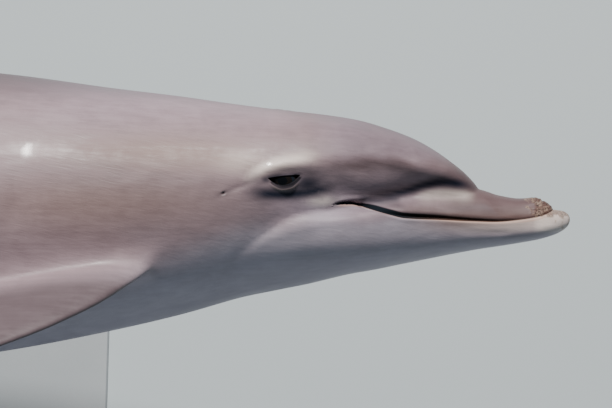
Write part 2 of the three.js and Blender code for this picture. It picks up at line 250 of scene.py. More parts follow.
FLARE_REACH = 0.08  # share of the span over which a fin's root is thicker
DORSAL = {
    "root": 150, "height": 264, "thick": 40, "taper": 0.78, "flare": 16,
    "front": through([(0, 965), (0.25, 1078), (0.53, 1188), (0.81, 1300), (0.953, 1378), (1, 1420)]),
    "back": through([(0, 1404), (0.2, 1362), (0.43, 1346), (0.72, 1377), (0.905, 1412), (1, 1432)]),
}
FLIPPER = {
    "behind": 592, "aside": 132, "height": -80, "buried": -70, "length": 415, "thick": 32, "taper": 0.76,
    "flare": 0, "sweep": math.radians(32), "droop": math.radians(28),
    "front": through([(0, -67), (0.1, -71), (0.3, -68), (0.5, -53), (0.7, -26), (0.85, 3), (0.95, 29),
                      (1, 50)]),
    "back": through([(0, 66), (0.1, 70), (0.3, 76), (0.5, 75), (0.7, 70), (0.85, 66), (0.95, 62), (1, 58)]),
}
FLUKE = {
    "half_span": 302, "thick": 30, "taper": 0.8, "flare": 0,
    "front": through([(0, 2305), (0.08, 2322), (0.25, 2362), (0.5, 2420), (0.75, 2473), (0.92, 2514),
                      (1, 2544)]),
    "back": through([(0, 2494), (0.05, 2510), (0.15, 2521), (0.35, 2518), (0.6, 2514), (0.85, 2532),
                     (1, 2552)]),
}


def dorsal_fin(span, chord, side, _):
    behind, aside = blade(DORSAL, span, chord, side)
    return np.stack([-behind, aside, DORSAL["root"] + span * DORSAL["height"]], -1)


def flipper(span, chord, side, hand):
    along, up = blade(FLIPPER, span, chord, side)
    sweep, droop = FLIPPER["sweep"], FLIPPER["droop"]
    out = FLIPPER["buried"] + span * FLIPPER["length"]
    outward = out * math.cos(sweep) - along * math.sin(sweep)
    back = out * math.sin(sweep) + along * math.cos(sweep)
    aside = FLIPPER["aside"] + outward * math.cos(droop) + up * math.sin(droop)
    height = FLIPPER["height"] - outward * math.sin(droop) + up * math.cos(droop)
    return np.stack([-FLIPPER["behind"] - back, hand * aside, height], -1)


def fluke(span, chord, side, hand):
    behind, up = blade(FLUKE, span, chord, side)
    return np.stack([-behind, hand * FLUKE["half_span"] * span, up], -1)


# ---------------- the skin's mesh
# How far apart the rings are, measured over the skin.
ring_spacing = through([(-22, 2.6), (60, 3.2), (400, 4), (500, 6), (700, 9), (900, 13), (2200, 13),
                        (2330, 6), (2500, 5)])


def ring_stations():
    """Where the rings are, behind the tip of the upper jaw."""
    fine = np.arange(muzzle.front + 0.02, trunk.back, 0.2)
    lengths = [np.linalg.norm(np.diff(body_surface(fine, np.full_like(fine, angle)), axis=0), axis=1)
               for angle in (0, math.pi / 2, -math.pi / 2)]
    rings = np.concatenate([[0], np.cumsum(np.max(lengths, axis=0) / ring_spacing(fine[1:]))])
    return np.interp(np.arange(0.25, rings[-1] - 0.3), rings, fine)


class Block:
    """A patch of the body's grid that a fin grows from: rows first..last, columns left..right."""

    def __init__(self, stations, angles, root, rows, columns, widest):
        """Takes in the root, a loop of points on the body, with a margin of some rows and columns."""
        behind = -root[:, 0]
        turn = np.arctan2(root[:, 2] - ring_middle(behind), root[:, 1]) - angles[0]
        step = angles[1] - angles[0]
        centre = round(float(np.median(np.unwrap(turn)) / step))
        spread = np.abs(np.angle(np.exp(1j * (turn - centre * step)))).max() / step
        reach = min(math.ceil(spread) + columns, widest)
        self.first = max(int(np.searchsorted(stations, behind.min())) - 1 - rows, 0)
        self.last = min(int(np.searchsorted(stations, behind.max())) + rows, len(stations) - 1)
        self.left, self.right = centre - reach, centre + reach

    def holds(self, row, column):
        """Whether the face between this row and column and the next is part of the block."""
        inside = (column - self.left) % COLUMNS < self.right - self.left
        return inside and self.first <= row < self.last

    def border(self):
        """The grid places round the block, and the angle round the fin's section of each."""
        rows, columns = range(self.first, self.last), range(self.left, self.right)
        sides = [
            [(self.first, c) for c in columns],
            [(r, self.right) for r in rows],
            [(self.last, c) for c in reversed(range(self.left + 1, self.right + 1))],
            [(r, self.left) for r in reversed(range(self.first + 1, self.last + 1))],
        ]
        nose = 0.4  # half the angle round the fin that the block's front and back sides take up
        corners = [-nose, nose, math.pi - nose, math.pi + nose, 2 * math.pi - nose]
        places, turns = [], []
        for side, start, end in zip(sides, corners, corners[1:]):
            places += [(r, c % COLUMNS) for r, c in side]
            turns += list(np.linspace(start, end, len(side), endpoint=False))
        return places, np.array(turns)


class Fin:
    """A fin of the skin: its surface by share of span, share of chord and side, and its mesh's density."""

    def __init__(self, surface, hand, rise, rows, doubled, margin):
        self.surface, self.hand, self.rise = surface, hand, rise
        self.rows, self.doubled, self.margin = rows, doubled, margin

    def points(self, turn, span):
        """Points at an angle round the fin's section: 0 is its leading edge, half a turn its trailing."""
        return self.surface(span, (1 - np.cos(turn)) / 2, np.sign(np.round(np.sin(turn), 9)), self.hand)

    def root(self, turn):
        """For each angle, the share of the span where the fin leaves the body."""
        return farthest(lambda span: standing_off(self.points(turn, span)) < 0, np.full_like(turn, 0.6), 20)

    def block(self, stations, angles):
        turns = np.linspace(0, 2 * math.pi, 60, endpoint=False)
        return Block(stations, angles, self.points(turns, self.root(turns)), *self.margin)

    def rings(self, base, turns):
        """The loops of points from the base, on the body, over a fillet and out to the tip."""
        root = self.root(turns)
        corner = self.points(turns, root)
        start = root + self.rise * (1 - root)
        above = self.points(turns, start)
        fillet = [base * (1 - t) ** 2 + 2 * corner * t * (1 - t) + above * t * t
                  for t in np.linspace(0, 1, 7)[1:]]
        shares = [1 - (1 - t) ** 1.25 for t in np.linspace(0, 1, self.rows)[1:]]
        return fillet + [self.points(turns, start + (1 - start) * t) for t in shares]

    def grow(self, bm, grid, block):
        """Grows the fin out of the border of its block and closes its tip."""
        places, turns = block.border()
        border = [grid[place] for place in places]
        base = np.array([v.co for v in border])
        if self.doubled:
            turns = np.stack([turns, (turns + np.append(turns[1:], turns[0] + 2 * math.pi)) / 2], 1).ravel()
            base = np.stack([base, (base + np.roll(base, -1, 0)) / 2], 1).reshape(-1, 3)
        turns = min((turns, -turns), key=lambda t: np.linalg.norm(self.points(t, self.root(t)) - base))
        loops = [[bm.verts.new(p) for p in ring] for ring in self.rings(base, turns)]
        even, odd = loops[0][::2], loops[0][1::2]
        if self.doubled:
            for low, then, a, b, c in zip(border, after(border), even, odd, after(even)):
                for corners in ((low, a, b), (low, b, then), (then, b, c)):
                    bm.faces.new(corners)
        else:
            loops = [border, *loops]
        for low, high in zip(loops, loops[1:]):
            for corners in zip(low, high, after(high), after(low)):
                bm.faces.new(corners)
        close_tip(bm, loops[-1], turns)


def after(loop):
    """What comes next to each member of a closed loop."""
    return loop[1:] + loop[:1]


def close_tip(bm, loop, turns):
    """Closes a fin's last ring with a strip between its two faces."""
    edge = int(np.argmin(np.abs(turns)))
    count = len(loop)
    one = [loop[(edge + k) % count] for k in range(count // 2 + 1)]
    other = [loop[(edge - k) % count] for k in range(count // 2 + 1)]
    bm.faces.new((one[0], one[1], other[1]))
    for k in range(1, count // 2 - 1):
        bm.faces.new((one[k], one[k + 1], other[k + 1], other[k]))
    bm.faces.new((one[-2], one[-1], other[-2]))


def fins():
    quarter = COLUMNS // 4
    made = [Fin(dorsal_fin, 0, 0.09, 34, False, (2, 2, quarter))]
    for hand in (1, -1):
        made.append(Fin(flipper, hand, 0.06, 42, True, (2, 2, quarter)))
        made.append(Fin(fluke, hand, 0.05, 32, False, (2, 3, quarter // 2)))
    return made


# What the vertices remember: their station, their angle, and 1 on the body or 0 on a fin.
GRID = ("behind", "cosine", "sine", "on_body")


def body_mesh():
    """The body's grid with its fins, as a bmesh."""
    stations = ring_stations()
    angles = math.pi / 2 + 2 * math.pi * np.arange(COLUMNS) / COLUMNS
    behind, angle = (part.ravel() for part in np.meshgrid(stations, angles, indexing="ij"))
    bm = bmesh.new()
    layers = [bm.verts.layers.float.new(name) for name in GRID]
    values = np.stack([behind, np.cos(angle), np.sin(angle), np.ones_like(angle)], -1)
    grid = {}
    for k, (point, row) in enumerate(zip(body_surface(behind, angle), values)):
        vertex = bm.verts.new(point)
        for layer, value in zip(layers, row):
            vertex[layer] = value
        grid[divmod(k, COLUMNS)] = vertex

    growing = [(fin, fin.block(stations, angles)) for fin in fins()]
    for i in range(len(stations) - 1):
        for j in range(COLUMNS):
            n = (j + 1) % COLUMNS
            if not any(block.holds(i, j) for _, block in growing):
                bm.faces.new([grid[i, j], grid[i, n], grid[i + 1, n], grid[i + 1, j]])
    for ring, tip in ((0, muzzle.front), (len(stations) - 1, trunk.back)):
        pole = bm.verts.new(body_surface(np.array([tip]), np.array([0.0]))[0])
        for j in range(COLUMNS):
            bm.faces.new((pole, grid[ring, (j + 1) % COLUMNS], grid[ring, j]))
    for fin, block in growing:
        fin.grow(bm, grid, block)
    bmesh.ops.delete(bm, geom=[v for v in bm.verts if not v.link_faces], context="VERTS")
    bmesh.ops.recalc_face_normals(bm, faces=bm.faces)
    return bm


# ---------------- lines and places on the head
# All are seen from the side: distance behind the tip of the upper jaw, then height.
MOUTH_LINE = [(0, -12), (7, -16), (20, -21), (45, -24.7), (75, -26.4), (105, -25.2), (150, -22),
              (195, -19.2), (211, -15.5), (225, -11.6), (240, -7.3), (252, -4.4), (262, -3.6), (272, -4.1),
              (281, -5.2), (289, -7)]
BROW_LINE = [(405, 14), (391, 22), (376, 32), (362, 39), (347, 44), (328, 46), (302, 48), (276, 54.5),
             (240, 55), (210, 51.5), (179, 41.5), (154, 36), (121, 29), (102, 18)]
EYE_SOCKET = [(388, 16), (372, 28), (350, 34), (328, 35), (308, 31)]
HOLLOW_LINE = [(378, 5), (350, 3), (325, 7), (300, 13), (280, 18)]
MELON_HOLLOW = [(300, 18), (276, 12), (250, 4), (220, 4), (195, 10), (165, 15), (150, 17), (120, 17),
                (98, 15)]
LID_RIM = [(369, 22.5), (361, 16), (350, 12.2), (339, 14), (330, 21), (323, 29)]
LID_CREASE = [(377, 27), (368, 33), (352, 36.5), (336, 37), (323, 33)]
EAR_CREASE = [(374, 27), (392, 20), (410, 13.5), (421, 9), (433, 4)]
JAW_CREASE = [(300, -6), (328, -11), (348, -18), (367, -30), (385, -41), (408, -55)]
CHEEK_LINE = [(262, -18), (290, -19), (302, -21), (328, -28), (348, -35), (385, -52), (412, -66)]
CHIN_CREASE = [(48, -40), (75, -42), (105, -41), (135, -38)]
PATCH_LINE = [(412, 12), (386, 9), (367, 7), (348, 6.5), (328, 8), (305, 12), (285, 16), (262, 13)]
CHEEK_PATCH = [(188, 3), (208, 1), (226, -1), (245, 2), (264, 8)]
LIP_SHADE = [(182, -10), (198, -8), (214, -5), (232, 0), (250, 5)]
MELON_FOOT = [(90, 13.5), (104, 17), (120, 20.5), (146, 23.5), (172, 18.5), (198, 10.5), (224, 6.5),
              (250, 7), (285, 14)]
BROW_GLOW = [(404, 20), (384, 36), (366, 44), (345, 49), (320, 54), (295, 56)]
CORNER_FILL = [(236, 0), (248, 1), (260, 1), (272, 0), (284, -2)]
SHELF_LINE = [(98, 5), (120, 8), (146, 9.5), (167, 7.5), (184, 2)]
RIDGE_FOOT = [(300, 40), (276, 42.5), (250, 43), (224, 44.5), (198, 41.5), (176, 34), (150, 28)]
NECK_CREASE = [(432, 22), (446, 4), (455, -20), (458, -44)]
SECOND_NECK_CREASE = [(470, 14), (482, -10), (488, -38)]

EAR = (424, 8.3)
EAR_SLOPE = 0.42  # how steeply the ear's slit falls towards the tail
EYE = {"behind": 350, "height": 24, "long": 21, "tall": 17, "deep": 15, "proud": -1}
EYE_AREA = (348, 25, 36, 24)  # the eye's surroundings: middle, half length and half height
EYE_ASIDE = float(trunk.half(EYE["behind"])) + EYE["proud"] - EYE["deep"]
OPENING = {"behind": 348, "half": 20, "rear": 27.0, "front": 31.1, "arch": 1.2, "depth": 10.5}
BLOWHOLE = {"behind": 352, "half": 15, "curve": 9}


def smooth_line(knots):
    """Closely spaced points of a smooth line drawn on the animal's side."""
    knots = np.array(knots, float)
    lengths = np.concatenate([[0], np.cumsum(np.linalg.norm(np.diff(knots, axis=0), axis=1))])
    along = np.linspace(0, lengths[-1], 8 * len(knots))
    return np.stack([through(list(zip(lengths, column)))(along) for column in knots.T], -1)


class Places:
    """Points of the animal, in millimetres, to be measured from what is drawn on its side."""

    def __init__(self, points):
        self.points = points
        self.behind, self.side, self.height = -points[:, 0], points[:, 1], points[:, 2]

    def moved(self, back, up):
        return Places(self.points + np.stack([-back, 0 * back, up], -1))

    def measure(self, knots, reach=40.0):
        """For each place: its distance from a line, positive above it, and how far along it is, 0 to 1."""
        line = smooth_line(knots)
        seen = np.stack([self.behind, self.height], -1)
        near = ((seen > line.min(0) - reach) & (seen < line.max(0) + reach)).all(-1)
        seen = seen[near]
        best = np.full(len(seen), FAR)
        along = np.zeros(len(seen))
        for k, (start, end) in enumerate(zip(line, line[1:])):
            step = end - start
            t = np.clip((seen - start) @ step / (step @ step), 0, 1)
            away = seen - start - t[:, None] * step
            side = np.where(step[0] * away[:, 1] - step[1] * away[:, 0] >= 0, 1, -1)
            length = np.linalg.norm(away, axis=1) * side * np.sign(step[0] + 1e-9)
            closer = np.abs(length) < np.abs(best)
            best = np.where(closer, length, best)
            along = np.where(closer, (k + t) / (len(line) - 1), along)
        distance, share = np.full(near.shape, FAR), np.zeros(near.shape)
        distance[near], share[near] = best, along
        return distance, share

    def within(self, distance, knots):
        """Whether each place is nearer to a line than a distance."""
        return np.abs(self.measure(knots, 2 * distance)[0]) < distance

    def band(self, knots, above, below, ends):
        """A soft band along a line: 1 on it, with its own width on each side, fading at both ends."""
        distance, share = self.measure(knots, 4 * max(above, below) + 5)
        across = hump(distance, np.where(distance > 0, above, below))
        return across * smooth(0, ends, share) * smooth(1, 1 - ends, share)

    def away(self, behind, height, long=1, tall=1):
        """Distance from a middle, as a share of a half length and a half height."""
        return np.hypot((self.behind - behind) / long, (self.height - height) / tall)

    def spot(self, *middle_and_size):
        """A soft spot: 1 in its middle, fading over its half length and half height."""
        return hump(self.away(*middle_and_size), 1)

    def ear(self, long, wide):
        """1 in the ear's slit, which lies along its crease, fading over the given lengths."""
        off, up = self.behind - EAR[0], self.height - EAR[1]
        along = (off - EAR_SLOPE * up) / math.hypot(1, EAR_SLOPE)
        across = (up + EAR_SLOPE * off) / math.hypot(1, EAR_SLOPE)
        return hump(np.hypot(along / long, across / wide), 1)


# ---------------- finer mesh where there is detail
def wanted_spacing(at):
    """The longest edge that the skin's detail allows at each place on the body."""
    mouth, share = at.measure(MOUTH_LINE, 14)
    eye = at.away(*EYE_AREA)
    details = [
        (np.abs(mouth) < 12, 2.2),
        (np.abs(mouth + 1) < 7, 1.3),
        (np.abs(mouth + 1.5) < 4, 0.8),
        (np.abs(mouth + MOUTH_EDGE * mouth_width(share)) < 0.7, 0.5),
        (eye < 1.3, 3.4),
        (eye < 0.95, 1.7),
        (at.within(4, LID_RIM), 0.8),
        (np.abs(eye_opening(at)) < 2.0, 0.5),
        (at.within(6, JAW_CREASE), 2.4),
        (at.within(6, EAR_CREASE), 2.4),
        (at.away(*EAR) < 5, 1.3),
        ((np.hypot(at.behind - BLOWHOLE["behind"], at.side) < 26) & (at.height > 90), 2.0),
    ]
    return np.min([np.where(near, spacing, FAR) for near, spacing in details], axis=0)


def refine(bm, passes=4, spare=1.35):
    """Halves the edges that are too long for the detail near them, with a little to spare."""
    on_body = bm.verts.layers.float["on_body"]
    for _ in range(passes):
        edges = [e for e in bm.edges if e.verts[0][on_body] == 1 and e.verts[1][on_body] == 1
                 and e.verts[0].co.x > -HEAD_END]
        ends = np.array([(*e.verts[0].co, *e.verts[1].co) for e in edges]).reshape(-1, 2, 3)
        length = np.linalg.norm(ends[:, 0] - ends[:, 1], axis=1)
        too_long = length > wanted_spacing(Places(ends.mean(axis=1))) * spare
        chosen = [e for e, split in zip(edges, too_long) if split]
        bmesh.ops.subdivide_edges(bm, edges=chosen, cuts=1, use_grid_fill=True)
    bmesh.ops.triangulate(bm, faces=[f for f in bm.faces if len(f.verts) > 4])


# ---------------- the eye's and the mouth's edges
def eye_share(at):
    """Where a place is along the eye's opening, and the height there of the line through its corners."""
    share = (at.behind - OPENING["behind"]) / OPENING["half"]
    rear, front = OPENING["rear"], OPENING["front"]
    return share, (rear + front) / 2 + share * (rear - front) / 2


def by_eye(at, reach):
    """Whether each is near one of the eyes."""
    return (at.away(*EYE_AREA) < reach) & (np.abs(at.side) > EYE_SIDE)


def eye_opening(at):
    """Signed distance into the gap between the eyelids: positive inside it."""
    share, corner = eye_share(at)
    bow = np.maximum(1 - share**2, -2)
    upper = corner + OPENING["arch"] * bow - at.height
    lower = at.height - corner + OPENING["depth"] * bow
    return np.minimum(upper, lower)


def upper_lid(at):
    """The edge of the upper eyelid: 1 at the opening, fading upwards."""
    share, corner = eye_share(at)
    above = smooth(-1.5, 1.0, at.height - corner)
    return above * smooth(-8, -1, eye_opening(at)) * smooth(1.6, 0.9, np.abs(share))


def lower_rim(at):
    """The rim of the lower eyelid, fading towards the front corner of the eye."""
    distance, share = at.measure(LID_RIM, 14)
    return hump(distance, 1.9) * smooth(0.02, 0.25, share) * smooth(0.95, 0.6, share)


def mouth_width(share):
    """Half the width of the mouth's groove along its length, in millimetres."""
    middle = 0.7 * smooth(0.08, 0.25, share) + 1.6 * smooth(0.3, 0.68, share)
    return 1.2 + middle * smooth(0.99, 0.78, share)


def mouth_profile(at):
    """The groove of the mouth, sharper at its lower edge, and how strong it and its lips are."""
    distance, share = at.measure(MOUTH_LINE)
    strength = smooth(0.05, 0.45, share) * smooth(1.0, 0.94, share)
    width = mouth_width(share)
    off = distance + 0.4 * width
    above = 1.15 - 0.7 * hump(at.behind - 256, 14)
    groove = hump(off, np.where(off > 0, above, 0.75) * width)
    groove = groove * (0.45 + 0.55 * strength) * smooth(1.0, 0.97, share)
    return distance, share, groove, strength


def mouth_edge(at):
    """Zero along the lower edge of the mouth's groove."""
    distance, share, _, _ = mouth_profile(at)
    return np.where(share < 1, distance + MOUTH_EDGE * mouth_width(share), 9)


def blowhole(at, reach):
    """Distance behind the blowhole's crescent, and 1 along it, fading at a share of its half width."""
    share = at.side / BLOWHOLE["half"]
    off = at.behind - BLOWHOLE["behind"] + BLOWHOLE["curve"] * share**2
    return off, smooth(reach, 0.8, np.abs(share)) * smooth(60, 100, at.height)


# ---------------- the relief of the head
# Folds: how far each stands out, its line, its widths above and below, and the share of its ends that fades.
FOLDS = [
    (4.0, BROW_LINE, 8.5, 10.5, 0.2),
    (-0.8, EYE_SOCKET, 7, 7, 0.35),
    (-2.4, HOLLOW_LINE, 11, 11, 0.35),
    (-0.7, RIDGE_FOOT, 4, 4, 0.3),
    (2.0, SHELF_LINE, 6, 6, 0.2),
    (-4.0, MELON_HOLLOW, 15, 15, 0.15),
    (-1.0, JAW_CREASE, 9, 9, 0.4),
    (1.5, CHEEK_LINE, 15, 15, 0.45),
    (1.4, CORNER_FILL, 2.6, 2.6, 0.25),
    (-1.2, EAR_CREASE, 4, 4, 0.4),
    (-0.9, CHIN_CREASE, 3, 3, 0.3),
    (-0.5, NECK_CREASE, 5, 5, 0.3),
    (-0.5, SECOND_NECK_CREASE, 5, 5, 0.3),
]
# Swellings at the mouth's corner and on the beak's tip: how far out, middle, half length and half height.
SWELLINGS = [(1.0, 298, -3, 11, 9), (1.8, 26, 4, 12, 9)]


def side_relief(at):
    """How far the folds of the head stand out from the plain lofts, in millimetres."""
    distance, share, groove, strength = mouth_profile(at)
    relief = -5.2 * groove * (1 - 0.35 * smooth(0.62, 0.4, share))
    lips = strength * smooth(0.95, 0.7, share)
    relief += 0.9 * hump(distance + 5, 3.5) * lips
    relief += 0.7 * hump(distance - 5.5, 3.5) * lips * smooth(0.75, 0.5, share)
    for rise, *fold in FOLDS:
        relief += rise * at.band(*fold)
    for rise, *swelling in SWELLINGS:
        relief += rise * at.spot(*swelling)
    relief -= 2.4 * at.ear(2.8, 1.4)
    behind, height = at.behind, at.height
    lumps = np.sin(behind / 1.7 + 0.4 * height) * np.sin(height / 1.5 - 0.5 * behind)
    return relief + 1.3 * lumps * smooth(36, 22, behind) * smooth(1, 6, distance)


def top_relief(at):
    """The blowhole: a crescent slit between two soft lips on the top of the head."""
    off, near = blowhole(at, 1.25)
    return near * (0.7 * hump(off - 6, 4) + 0.4 * hump(off + 6, 4) - 5.0 * hump(off, 1.9))


def belly_relief(at):
    """The navel and the slits on the midline of the belly."""
    slit = hump(at.side, 3.5) * smooth(1545, 1565, at.behind) * smooth(1690, 1670, at.behind)
    navel = hump(np.hypot((at.behind - 1180) / 1.8, at.side), 6)
    return -3.0 * smooth(-60, -110, at.height) * (slit + 0.7 * navel)


def snapped(at, field, reach):
    """Slides the places that are nearly on a field's zero line on to it, so that an edge runs there."""
    step = 0.05
    value = field(at)
    across = (field(at.moved(step, 0)) - value) / step
    up = (field(at.moved(0, step)) - value) / step
    slope = np.maximum(across**2 + up**2, 0.05)
    share = np.where(np.abs(value) < reach * np.sqrt(slope), value / slope, 0)
    return at.moved(-share * across, -share * up)


def eyeball_side(at, margin):
    """How far out the eyeball, with a margin round it, reaches at each place; 0 where it doesn't."""
    u = (at.behind - EYE["behind"]) / (EYE["long"] + margin)
    w = (at.height - EYE["height"]) / (EYE["tall"] + margin)
    rest = 1 - u * u - w * w
    return np.where(rest > 0, EYE_ASIDE + (EYE["deep"] + margin) * np.sqrt(np.maximum(rest, 0)), 0)


def shape_eyelids(points):
    """Draws the skin over the eyeballs, with the gap between the lids, a rim and a crease."""
    near = by_eye(Places(points), 1.6)
    at = snapped(Places(points[near]), eye_opening, 0.3)
    side = np.abs(at.side)
    covered = soft_maximum(side, eyeball_side(at, LID), 3.0)
    covered += lower_rim(at) - 0.2 * at.band(LID_CREASE, 2.2, 2.2, 0.25)
    covered -= 0.7 * at.band([(x - 1, y + 4.5) for x, y in LID_RIM], 2.0, 2.0, 0.2)
    under = eyeball_side(at, -2.5)
    under = np.where(under > 0, under, side - 7.5)
    out = covered + (under - covered) * smooth(-0.1, 0.7, eye_opening(at))
    moved = points.copy()
    moved[near] = np.stack([-at.behind, np.sign(at.side) * out, at.height], -1)
    return moved


# ---------------- placing
def middle_of(node):
    low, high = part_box(node)
    return (low + high) / 2


def placement():
    """The banked pose, from the CAD's two eyes: the animal's left, its back, and where its snout is."""
    left, right = middle_of("eye_left"), middle_of("eye_right")
    aside = (left - right).normalized()
    back = Vector((1, 0, 0)).cross(aside)
    eyes = (left + right) / 2
    snout = eyes + Vector((EYE["behind"] * MM, 0, 0)) - back * (EYE["height"] * MM)
    return np.array([(1, 0, 0), aside, back]), np.array(snout)


TURN, SNOUT = placement()


def placed(points):
    """Curls the tail, banks the animal and puts it where the CAD has it, in metres."""
    x, y, z = points.T
    tail = LENGTH - BEND_FROM
    share = np.maximum(-x - BEND_FROM, 0) / tail
    turn = TAIL_BEND * share**2
    along = BEND_FROM + tail * (share - TAIL_BEND**2 * share**5 / 10)
    bent_x = np.where(share > 0, -along - z * np.sin(turn), x)
    bent_z = np.where(share > 0, -tail * TAIL_BEND * share**3 / 3 + z * np.cos(turn), z)
    return np.stack([bent_x, y, bent_z], -1) * MM @ TURN + SNOUT


# ---------------- the skin
def read(data, field, width=3):
    """One field of every item in a mesh's data, a row each."""
    values = np.empty(len(data) * width)
    data.foreach_get(field, values)
    return values.reshape(-1, width)


def move(mesh, points):
    mesh.vertices.foreach_set("co", points.ravel())
    mesh.update()


def add_attribute(mesh, name, values):
    kind, field = ("FLOAT_VECTOR", "vector") if values.ndim == 2 else ("FLOAT", "value")
    attribute = mesh.attributes.new(name, kind, "POINT")
    attribute.data.foreach_set(field, values.astype(np.float32).ravel())


def build_skin():
    """The skin: the plain body and fins, then the relief along their normals, the eyelids and the pose."""
    bm = body_mesh()
    refine(bm)
    mesh = bpy.data.meshes.new("skin")
    bm.to_mesh(mesh)
    bm.free()
    behind, cosine, sine, on_body = (read(mesh.attributes[name].data, "value", 1)[:, 0] for name in GRID)
    on_body = on_body > 0.999
    points = read(mesh.vertices, "co")
    points[on_body] = body_surface(behind[on_body], np.arctan2(sine, cosine)[on_body])
    for name in GRID[:3]:
        mesh.attributes.remove(mesh.attributes[name])
    move(mesh, points)

    at = snapped(Places(points), mouth_edge, 0.45)
    relief = side_relief(at) + top_relief(at) + belly_relief(at)
    normals = read(mesh.vertex_normals, "vector")
    points = shape_eyelids(at.points + normals * np.where(on_body, relief, 0)[:, None])
    paint(mesh, points)
    add_attribute(mesh, "rest", points * MM)
    move(mesh, placed(points))
    mesh.shade_smooth()
    return mesh


# ---------------- where the colours lie
# Soft marks of each colour. A band: its strength, line, widths above and below, and the share of its ends
# that fades. A spot: its strength, middle, half length and half height. The skin glints where it is wet.
BANDS = {
    # Slate under the eye, part the animal's dark patch and part painted shade, and painted shade above the
    # mouth and in the melon's hollow.
    "shade": [(1, PATCH_LINE, 10, 8.5, 0.3), (0.8, CHEEK_PATCH, 7, 7, 0.25), (0.45, LIP_SHADE, 6, 6, 0.3),
              (0.32, MELON_HOLLOW, 24, 24, 0.1)],
    # Painted shade: a darker stripe just below the melon's ridge.
    "beak_and_painted_shade": [(0.8, [(x, z + 3) for x, z in RIDGE_FOOT], 9, 9, 0.3)],
    # Painted highlights along the brow's crest and on the shelf of the upper jaw.
    "cream_and_highlight": [(1, BROW_GLOW, 7, 8, 0.3), (0.8, SHELF_LINE, 4.5, 9, 0.25)],
}
SPOTS = {
    # Painted shade: a soft darker spot on the mid flank, laid on in the cape's colour.
    "cape_and_flank_shade": [(0.4, 500, 6, 210, 50)],
    # Painted shade round the eye: behind it, on the upper lid, at its rear corner and in front of it.
    "shade": [(0.4, 378, 22, 16, 12), (0.5, 345, 31, 28, 9), (0.8, 371, 25.5, 8, 5.5),
              (0.93, 318, 20, 27, 16)],
    # A browner upper flank, and painted shade darkening the lower flank.
    "warm_and_flank_shade": [(0.95, 485, 65, 175, 33), (0.6, 590, -4, 190, 42)],
    # Painted bluish reflection on the cheek by the mouth's corner.
    "painted_reflection": [(0.9, 290, -9, 65, 24)],
    # Painted highlights on the swelling at the mouth's corner and at the rear of the brow.
    "cream_and_highlight": [(0.8, 299, -2, 17, 7), (0.5, 402, 48, 30, 12)],
    "wet": [(1, 667, 59, 5, 5), (1, 656, 61.5, 2.5, 2.5), (1, 375, 42, 2.3, 2.3),
            (1, 366.5, 43.5, 2.3, 2.3), (0.06, 662, 60, 36, 9)],
}

# The cape's lower edge and its softness, as shares of the body's height, and how dark it is.
cape_edge = through([(0, 1.6), (92, 1.4), (130, 1.0), (200, 0.98), (400, 1.0), (520, 0.96), (650, 0.89),
                     (900, 0.74), (1250, 0.6), (1500, 0.55), (2000, 0.3), (2400, -0.1)])
cape_softness = through([(400, 0.06), (520, 0.09), (650, 0.14), (900, 0.32), (1200, 0.42), (2400, 0.4)])
cape_depth = through([(100, 1), (300, 0.6), (520, 0.6), (700, 0.7), (950, 0.72), (2400, 0.75)])
# The upper edge of the pale belly, as a share of the body's height. It rises round the mouth's corner, as
# painted light on the cheek.
pale_edge = through([(-30, 0.1), (60, 0.0), (130, -0.05), (240, -0.12), (275, 0.05), (300, 0.14),
                     (330, 0.04), (370, -0.08), (430, -0.3), (560, -0.55), (700, -0.62), (1100, -0.55),
                     (1500, -0.6), (1900, -0.8), (2200, -1.05)])
# How far the dark streak at the melon's foot, part of it painted shade, reaches down.
foot_width = through([(90, 6.5), (125, 9), (160, 9), (190, 10), (240, 11)])


def body_height(at):
    """Height as a share of the body's own: 1 on its back, -1 on its belly."""
    middle = ring_middle(at.behind)
    above = np.maximum(trunk.top(at.behind) - middle, 20)
    below = np.maximum(middle - trunk.bottom(at.behind), 20)
    return (at.height - middle) / np.where(at.height > middle, above, below)


def cape_and_flank_shade(at):
    """The dark cape: along the back and over the tail stock. A soft spot of painted shade on the mid flank
    joins it.
    """
    off = (body_height(at) - cape_edge(at.behind)) / cape_softness(at.behind)
    return smooth(-1, 1, off) * cape_depth(at.behind)


def pale(at):
    """The pale belly, from the chin to the base of the tail."""
    return smooth(0.16, -0.22, body_height(at) - pale_edge(at.behind))


def shade(at):
    """Slate: the streak along the melon's foot, part dark stripe and part painted shade under the melon's
    overhang, and painted shade at the upper eyelid's edge and in the ear's crease.
    """
    above, share = at.measure(MELON_FOOT)
    foot = hump(above, np.where(above < 0, foot_width(at.behind), 6.5))
    foot = foot * smooth(0, 0.2, share) * smooth(1, 0.55, share)
    return np.maximum.reduce([foot, 0.8 * upper_lid(at), 0.35 * at.ear(15, 4)])


def beak_and_painted_shade(at):
    """The brownish, darker skin of the snout and of the front of the melon, with painted shade on the upper
    lip and, from its band, below the melon's ridge.
    """
    behind, height = at.behind, at.height
    distance, share = at.measure(MOUTH_LINE)
    snout = 0.95 * smooth(190, 110, behind) * smooth(-54, -34, height)
    # Painted shade on the upper lip, darkest next to the mouth's groove.
    upper_lip_shade = 0.75 * smooth(24, 3, distance) * smooth(0.9, 0.6, share)
    melon = 0.6 * smooth(370, 220, behind) * smooth(44, 60, height) * smooth(60, 110, behind)
    front = 0.6 * smooth(200, 150, behind) * smooth(24, 40, height)
    return np.maximum.reduce([np.maximum(snout, upper_lip_shade) * (distance > 0), melon, front])


def warm_and_flank_shade(at):
    """The browner skin along the lips. Its spots add a browner upper flank and painted shade that darkens
    the lower flank.
    """
    distance, share = at.measure(MOUTH_LINE, 60)
    return hump(distance, np.where(distance > 0, 13, 17)) * smooth(0.75, 0.45, share)


